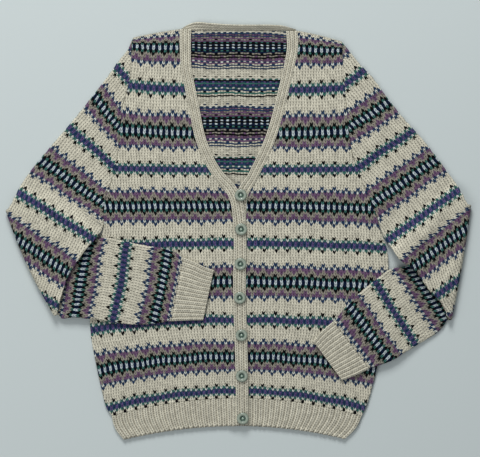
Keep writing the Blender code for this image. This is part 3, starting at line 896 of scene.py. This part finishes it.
def build_back(knit, wrong_side):
    def measures(course):
        return BACK_START, BACK_PITCH, column(BODY, "right_x", course), column(BODY, "left_x", course)

    def height(course, x):
        return np.minimum(row_y(course, x, True), NECK_Y)

    ends, plan = panel(measures, height, 1)
    open_wales = steps(-OPEN_NECK_WALES, OPEN_NECK_WALES, 2 * PURL_STEP)
    wales = np.concatenate([
        np.arange(BACK_WALES[0], -OPEN_NECK_WALES, PLAIN_STEP), open_wales,
        np.arange(BACK_WALES[1], OPEN_NECK_WALES, -PLAIN_STEP)[::-1],
    ])
    courses = np.concatenate([
        np.arange(0, OPEN_NECK_COURSE, PLAIN_STEP),
        steps(OPEN_NECK_COURSE, SHOULDER_COURSE, PURL_STEP),
    ])
    x, y, _, wale, course, _ = stitch_grid(ends, plan, wales, courses, 0.0)
    open_neck = (np.abs(wale) <= OPEN_NECK_WALES) & (course >= OPEN_NECK_COURSE)
    z = WALL - np.where(open_neck, purl_depth(wale, course), PURL_DEPTH / 2)
    top = stacked(x, y, z), stacked(wale, course)

    wales = steps(*BACK_WALES, STITCH_STEP)
    grid = stitch_grid(ends, plan, wales, steps(0, SHOULDER_COURSE, 1.0), CHEVRON)
    x, y, rim, wale, course, _ = grid
    z = knit_depth(wale, course + 0.5) + edge_drop(rim)
    bottom = stacked(x, y, z), stacked(wale, course)
    return wall("back", top, bottom, [wrong_side, knit], "fair_isle_knit")


# Ribs


# One rib from side to side: a knit stitch with two legs, and the purl stitch sunk after it.
RIB = table(
    "phase height lean wale",
    (0.0, 0.40, 0.5, -0.5),
    (0.16, 1.0, 0.25, -0.25),
    (0.32, 0.70, 0.0, 0.0),
    (0.48, 1.0, 0.25, 0.25),
    (0.64, 0.40, 0.5, 0.5),
    (0.82, 0.0, 0.5, 1.0),
)


def rib_grid(strip, ribs, courses, scallop=0.0):
    """Places on a 1 x 1 rib that starts and ends with a knit stitch, so its last purl stitch is
    left off. strip gives the plan for shares across and along the ribs."""
    columns = [
        (rib + c.phase, c.height, c.lean, 2 * rib + c.wale) for rib in range(ribs + 1) for c in RIB
    ]
    phase, height, lean, wale = (np.array(values) for values in zip(*columns[:-1]))
    share, level = np.meshgrid(phase / phase[-1], np.linspace(0, courses, 2 * courses + 1))
    along = np.clip(level + CHEVRON * np.where(level > 0, lean, 0.0), 0, courses) / courses
    x, y = strip(share, along)
    inner = np.clip(np.minimum(level, courses - level) / 2, 0, 1)
    inner = inner * np.clip(np.minimum(share, 1 - share) * phase[-1], 0, 1)
    x = x + inner * RIB_WOBBLE * wobble(level * 1.2, wale * 0.7)
    y = y + inner * RIB_WOBBLE * wobble(wale * 0.8, level)
    y[0] -= scallop * height
    depth = RIB_RISE * (1 - height * (0.8 + 0.2 * np.abs(np.sin(math.pi * level))))
    return x, y, depth, stacked(wale, level)


def plain_grid(strip, columns, rows):
    share, along = np.meshgrid(np.linspace(0, 1, columns + 1), np.linspace(0, 1, rows + 1))
    x, y = strip(share, along)
    return x, y, stacked(share * columns, along * rows)


def hem_y(x, share, course=0.0):
    return mix(bowed(x, HEM_MID_Y, HEM_RIGHT, HEM_LEFT), row_y(course, x), share)


def hem_strip(start, end, start_slope, end_slope):
    def strip(share, along):
        swell = RIB_SIDE_BULGE * np.sin(math.pi * along)
        left = start + start_slope * along + np.sign(start_slope) * swell
        right = end + end_slope * along + np.sign(end_slope) * swell
        x = mix(left, right, share)
        return x, hem_y(x, along)
    return strip


def build_hem(rib):
    top = BODY[0]
    right_slope, left_slope = top.right_x - HEM_RIGHT[0], top.left_x - HEM_LEFT[0]
    strips = {
        "right_front_rib": hem_strip(HEM_RIGHT[0], top.right_edge, right_slope, 0.0),
        "left_front_rib": hem_strip(top.left_edge, HEM_LEFT[0], 0.0, left_slope),
        "back_hem_rib": hem_strip(HEM_RIGHT[0], HEM_LEFT[0], right_slope, left_slope),
    }
    made = []
    for node, strip in strips.items():
        x, y = strip(np.array([0.0, 1.0]), np.array([0.0, 0.0]))
        ribs = round((x[1] - x[0]) / RIB_PITCH)
        x, y, depth, places = rib_grid(strip, ribs, RIB_COURSES, SCALLOP)
        px, py, plain_places = plain_grid(strip, ribs // 2, RIB_COURSES // 2)
        if node == "back_hem_rib":
            faces = (stacked(px, py, WALL), plain_places), (stacked(x, y, depth), places)
        else:
            lift, plain_lift = (
                right_lift(b, top.right_edge - a) if node == "right_front_rib" else 0.0
                for a, b in ((x, y), (px, py))
            )
            ribbed = stacked(x, y, FRONT_Z + WALL + lift + ease(x, y) - depth)
            faces = (ribbed, places), (stacked(px, py, FRONT_Z + plain_lift), plain_places)
        made.append(wall(node, *faces, [rib], "ribbing"))
    return made


def band_line(side):
    """Close points along a front band's seam, from the hem to the shoulder, with its widths."""
    hem_points, body_points = BAND_POINTS
    share = np.append(np.linspace(0, 1, hem_points, endpoint=False), np.ones(body_points))
    course = np.append(np.zeros(hem_points), np.linspace(0, SHOULDER_COURSE, body_points))
    x = column(BODY, f"{side}_edge", course)
    return stacked(x, hem_y(x, share, course)), column(BODY, "band", course)


def build_band(side, rib):
    line, widths = band_line(side)
    along_line = lengths(line)
    slope = np.gradient(line, along_line, axis=0)
    slope /= np.linalg.norm(slope, axis=1)[:, None]
    normal = stacked(-slope[:, 1], slope[:, 0]) * OUTWARD[side]

    def strip(share, along):
        at = along * along_line[-1]
        width = np.interp(at, along_line, widths)
        aside = straight(at, along_line, normal) * (width * share)[..., None]
        return apart(on_line(line, at) + aside)

    def base(y):
        return FRONT_Z + (right_lift(y) if side == "right" else 0.0 * y)

    courses = round(along_line[-1] / COURSE)
    x, y, depth, places = rib_grid(strip, BAND_RIBS - 1, courses)
    px, py, plain_places = plain_grid(strip, 2, courses // 2)
    ribbed = stacked(x, y, base(y) + WALL - depth), places
    plain = stacked(px, py, base(py)), plain_places
    return wall(f"{side}_band", ribbed, plain, [rib], "ribbing")


def build_neck_band(rib):
    """The band behind the neck. Its ribs run along it, and its ends tuck under the bands."""
    start, end = NECK_STATIONS[0].seam_x, NECK_STATIONS[-1].seam_x

    def strip(share, along):
        seam_x = mix(start, end, along)
        top_x, top_y = (column(NECK_STATIONS, name, seam_x) for name in ("top_x", "top_y"))
        return mix(seam_x, top_x, share), mix(NECK_Y, top_y, share)

    def height(share, along):
        rise = column(NECK_STATIONS, "rise", mix(start, end, along))
        return NECK_BAND_RISE * np.maximum(0, rise) * share ** NECK_BAND_CURVE

    courses = round((end - start) / COURSE)
    x, y, depth, places = rib_grid(strip, BAND_RIBS - 1, courses)
    share, along = np.linspace(0, 1, x.shape[1]), places[..., 1] / courses
    rise = height(share, along)
    lean_back = 0.5 * rise / NECK_BAND_RISE * WALL * share
    outer = stacked(x, y - lean_back, rise + WALL - NECK_RIB_DEPTH * depth), places
    px, py, plain_places = plain_grid(strip, NECK_PLAIN_COLUMNS, courses)
    share, along = plain_places[..., 0] / NECK_PLAIN_COLUMNS, plain_places[..., 1] / courses
    inner = stacked(px, py, height(share, along)), plain_places
    return wall("neck_band", outer, inner, [rib], "ribbing")


# Sleeves


class Fold:
    """Folds a sleeve that is drawn out straight on its crease at the elbow."""

    def __init__(self, side):
        self.sleeve = SLEEVES[side]
        self.outward = OUTWARD[side]
        start, end = (np.array(point, float) for point in self.sleeve.crease)
        self.start = start
        self.length = np.linalg.norm(end - start)
        self.down = (end - start) / self.length
        self.out = np.array([self.down[1], -self.down[0]])
        if self.out[0] * self.outward < 0:
            self.out = -self.out
        self.side = np.array([(getattr(row, f"{side}_x"), getattr(row, f"{side}_y")) for row in BODY])

    def swell(self, u):
        bow = self.sleeve.bow * np.sin(math.pi * np.clip(u, 0, 1))
        return bow - CREASE_RADIUS - TUBE / 2

    def to_crease(self, points):
        """Share along the crease, and the distance beyond the start of its round."""
        away = np.asarray(points, float) - self.start
        u = away @ self.down / self.length
        return u, away @ self.out - self.swell(u)

    def from_crease(self, u, beyond):
        u = np.asarray(u, float)
        along = u * self.length
        reach = self.swell(u) + beyond
        return self.start + along[..., None] * self.down + reach[..., None] * self.out

    def opened(self, points):
        """Where points of the folded forearm lie when the sleeve is drawn out straight."""
        u, beyond = self.to_crease(points)
        return self.from_crease(u, CREASE_LENGTH - beyond)

    def forearm_lift(self, x, y):
        outside = self.outward * (x - np.interp(y, self.side[:, 1], self.side[:, 0]))
        return OVER_FRONT * (1 - smooth_step(CLIMB_END, CLIMB_START, outside))

    def upper_lift(self, x, y):
        along, away = beside(self.sleeve.tuck, x, y)
        passed = np.clip(along, 0, 1) ** 3
        low, high = (mix(a, b, passed) for a, b in zip(*self.sleeve.climb))
        climbed = smooth_step(-low, -high, -self.outward * away)
        return climbed * (2 * CREASE_RADIUS + self.forearm_lift(x, y))

    def folded(self, points):
        """Middle of the folded tube and its outward direction, for points drawn out straight."""
        u, beyond = self.to_crease(points)
        turn = np.clip(beyond, 0, CREASE_LENGTH) / CREASE_RADIUS
        past = np.maximum(beyond - CREASE_LENGTH, 0)
        flat = np.minimum(beyond, 0)
        reach = flat + CREASE_RADIUS * np.sin(turn) - past
        x, y = apart(self.from_crease(u, reach))
        lift = self.forearm_lift(*apart(self.from_crease(u, np.minimum(flat - past, 0))))
        folding = SLEEVE_REST + lift + CREASE_RADIUS * (1 + np.cos(turn))
        z = np.where(beyond <= 0, SLEEVE_REST + self.upper_lift(x, y), folding)
        return stacked(x, y, z), stacked(*(np.sin(turn) * out for out in self.out), np.cos(turn))


def build_sleeve(side, knit, wrong_side):
    sleeve = SLEEVES[side]
    fold = Fold(side)
    beside_armhole = [row.course >= ARMPIT_COURSE for row in BODY]
    armhole = smooth_line(fold.side[beside_armhole][::-1])
    armhole_length = lengths(armhole)[-1]
    corners = [tuple(fold.from_crease(u, 0.0)) for u in (0.0, 1.0)]
    outer, inner = (
        np.concatenate([smooth_line(above + (corner,)), fold.opened(smooth_line((corner,) + below))])
        for above, corner, below in zip(
            (sleeve.outer, sleeve.inner), corners, (sleeve.top, sleeve.bottom)
        )
    )
    inner = np.concatenate([armhole, inner[1:]])
    keys, outer_at, inner_at = (np.array(values, float) for values in zip(*sleeve.courses))
    outer_at *= lengths(outer)[-1] / outer_at[-1]
    inner_at *= lengths(inner)[-1] / inner_at[-1]

    def edges(course):
        return [
            on_line(edge, curve_through(keys, along, course))
            for edge, along in ((outer, outer_at), (inner, inner_at))
        ]

    def ends(course):
        first, last = edges(course)
        return np.zeros_like(course), np.linalg.norm(last - first, axis=-1) / SLEEVE_PITCH

    def plan(wale, course):
        first, last = edges(course)
        width = np.maximum(np.linalg.norm(last - first, axis=-1), 1e-6)
        share = np.clip(wale * SLEEVE_PITCH / width, 0, 1)
        return *apart(mix(first, last, share[..., None])), share * width

    wales = steps(0, SLEEVE_WALES, STITCH_STEP)
    courses = steps(keys[0], keys[-1], COURSE_STEP)
    x, y, _, wale, course, level = stitch_grid(ends, plan, wales, courses, CHEVRON)
    first, last = edges(level)
    width = np.linalg.norm(last - first, axis=-1)
    from_outer = np.clip(wale * SLEEVE_PITCH, 0, width)
    from_inner = width - from_outer

    past_armhole = curve_through(keys, inner_at, level) - armhole_length
    sewn = 1 - smooth_step(*SEAM_FADE, past_armhole)
    seam = 1 - edge_drop(from_inner) / (TUBE / 2)
    rise = rounding(from_outer) * mix(rounding(from_inner), seam, sewn)
    middle, direction = fold.folded(stacked(x, y))
    depth = knit_depth(wale, course) * rise
    middle_x, middle_y, _ = apart(middle)
    soft = soft_creases(middle_x, middle_y) + ease(x, y)
    soft *= smooth_step(0, SOFT_MARGIN, from_outer) * smooth_step(0, SOFT_MARGIN, from_inner)
    above_elbow = fold.to_crease(stacked(x, y))[1] < 0
    rolled = np.where(above_elbow, roll(sleeve, middle_x, middle_y), 0.0)
    faces = []
    for face in (1, -1):
        points = middle + direction * (face * (TUBE / 2 * rise - depth))[..., None]
        points[..., 2] += np.where(face * direction[..., 2] > 0.5, soft, 0.0) + rolled
        faces.append(points)
    outside = *faces, stacked(wale - MOTIF_START, course)

    # The inside of the tube lies nearly flat, and is open at the wrist only.
    share, course = np.meshgrid(
        np.linspace(0, 1, LINING_COLUMNS + 1), np.linspace(0, keys[-1], LINING_ROWS + 1)
    )
    first, last = edges(course)
    inset = WALL / np.linalg.norm(last - first, axis=-1)
    middle, direction = fold.folded(mix(first, last, mix(inset, 1 - inset, share)[..., None]))
    gap = np.where((share > 0) & (share < 1), LINING_GAP, 0.0)
    gap[0] = 0.0
    faces = [middle + direction * (face * gap)[..., None] for face in (1, -1)]
    inside = *faces, stacked(share * width.mean() / SLEEVE_PITCH, course)
    return tube(f"{side}_sleeve", outside, inside, [knit, wrong_side], "fair_isle_knit", ends=(1,))


def build_cuff(side, rib):
    """A ribbed tube that lies flat, open at the wrist."""
    sleeve = SLEEVES[side]
    top, bottom = smooth_line(sleeve.cuff_top, 1.0), smooth_line(sleeve.cuff_bottom, 1.0)

    def strip(share, along):
        first, last = (on_line(edge, along * lengths(edge)[-1]) for edge in (top, bottom))
        return apart(mix(first, last, share[..., None]))

    width = math.dist(sleeve.cuff_top[0], sleeve.cuff_bottom[0])
    x, y, depth, places = rib_grid(strip, CUFF_RIBS - 1, CUFF_COURSES)
    aside = np.linspace(0, 1, x.shape[1])
    rise = (TUBE / 2 - depth) * rounding(np.minimum(aside, 1 - aside) * width)
    middle = SLEEVE_REST + OVER_FRONT
    outside = stacked(x, y, middle + rise), stacked(x, y, middle - rise), places

    inset = WALL / width
    columns, rows = CUFF_LINING
    x, y, places = plain_grid(lambda s, v: strip(mix(inset, 1 - inset, s), v), columns, rows)
    wale = places[..., 0]
    gap = GAP * np.minimum(1, np.minimum(wale, columns - wale))
    inside = stacked(x, y, middle + gap), stacked(x, y, middle - gap), places
    return tube(f"{side}_cuff", outside, inside, [rib], "ribbing", ends=(0, 1))


# Buttons


def build_button(number, centre, resin):
    """A turned button with a raised rim and a well round a small knob."""
    x, y = centre
    radius, height = np.array(BUTTON_PROFILE).T[..., None]
    turn = np.linspace(0, 2 * math.pi, BUTTON_TURNS, endpoint=False) + number
    points = stacked(x + radius * np.cos(turn), y + radius * np.sin(turn), BUTTON_BASE + height)
    places = stacked(turn / (2 * math.pi), radius / BUTTON_RADIUS)
    faces = grid_faces(points.shape[:2], ring=True)
    return finish_piece(
        f"resin_button_{number}", points.reshape(-1, 3), places.reshape(-1, 2), faces,
        np.zeros(len(faces), int), [resin], f"button_{number}", "button",
    )


# The garment

knit = fair_isle_finish()
wrong_side = wrong_side_finish()
rib = rib_finish()
resin = button_finish()

back = build_back(knit, wrong_side)
right_front, left_front = (build_front(side, knit) for side in OUTWARD)
right_front_rib, left_front_rib, back_hem_rib = build_hem(rib)
right_band, left_band = (build_band(side, rib) for side in OUTWARD)
neck_band = build_neck_band(rib)
right_sleeve, left_sleeve = (build_sleeve(side, knit, wrong_side) for side in OUTWARD)
right_cuff, left_cuff = (build_cuff(side, rib) for side in OUTWARD)
for number, centre in enumerate(BUTTON_XY, 1):
    build_button(number, centre, resin)


# Floor, light and camera

FLOOR_SIZE = 6.0
FLOOR_GAP = 0.0002
FLOOR_COLOUR = (202, 211, 210)
WORLD_COLOUR = (0.9, 0.95, 1.0, 1.0)
WORLD_STRENGTH = 0.29
# Place, size in metres and power in watts
LIGHTS = {
    "window light": ((-0.4, 2.8, 2.0), 1.3, 92.0),
    "fill light": ((-2.0, -1.3, 2.4), 2.0, 27.0),
}
CAMERA_PIXEL = (240.0, 228.5)
CENTRE_PIXEL = (238.5, 231.0)
MM_PER_PIXEL = 1.5
VIEW_WIDTH = 0.72
CAMERA_HEIGHT = 3.0
SENSOR = 36.0


def build_floor():
    bpy.ops.mesh.primitive_plane_add(size=FLOOR_SIZE, location=(0, 0, -FLOOR_GAP))
    floor = bpy.context.object
    floor.name = "floor"
    finish = Finish("pale floor", {"Roughness": 0.7, "Base Color": linear(FLOOR_COLOUR)})
    floor.data.materials.append(finish.material)


def build_light(name, place, size, power):
    lamp = bpy.data.lights.new(name, "AREA")
    lamp.size = size
    lamp.energy = power
    light = bpy.data.objects.new(name, lamp)
    light.location = place
    light.rotation_mode = "QUATERNION"
    light.rotation_quaternion = (-light.location).to_track_quat("-Z", "Y")
    bpy.context.scene.collection.objects.link(light)


def build_world():
    world = bpy.data.worlds.new("studio")
    world.use_nodes = True
    background = world.node_tree.nodes["Background"]
    background.inputs["Color"].default_value = WORLD_COLOUR
    background.inputs["Strength"].default_value = WORLD_STRENGTH
    bpy.context.scene.world = world


def build_camera():
    lens = bpy.data.cameras.new("camera")
    lens.sensor_width = SENSOR
    lens.lens = SENSOR * CAMERA_HEIGHT / VIEW_WIDTH
    camera = bpy.data.objects.new("camera", lens)
    right, down = (at - centre for at, centre in zip(CAMERA_PIXEL, CENTRE_PIXEL))
    camera.location = (right * MM_PER_PIXEL * MM, -down * MM_PER_PIXEL * MM, CAMERA_HEIGHT)
    bpy.context.scene.collection.objects.link(camera)
    bpy.context.scene.camera = camera


build_floor()
for name, (place, size, power) in LIGHTS.items():
    build_light(name, place, size, power)
build_world()
build_camera()
bpy.context.scene.view_settings.view_transform = "Standard"
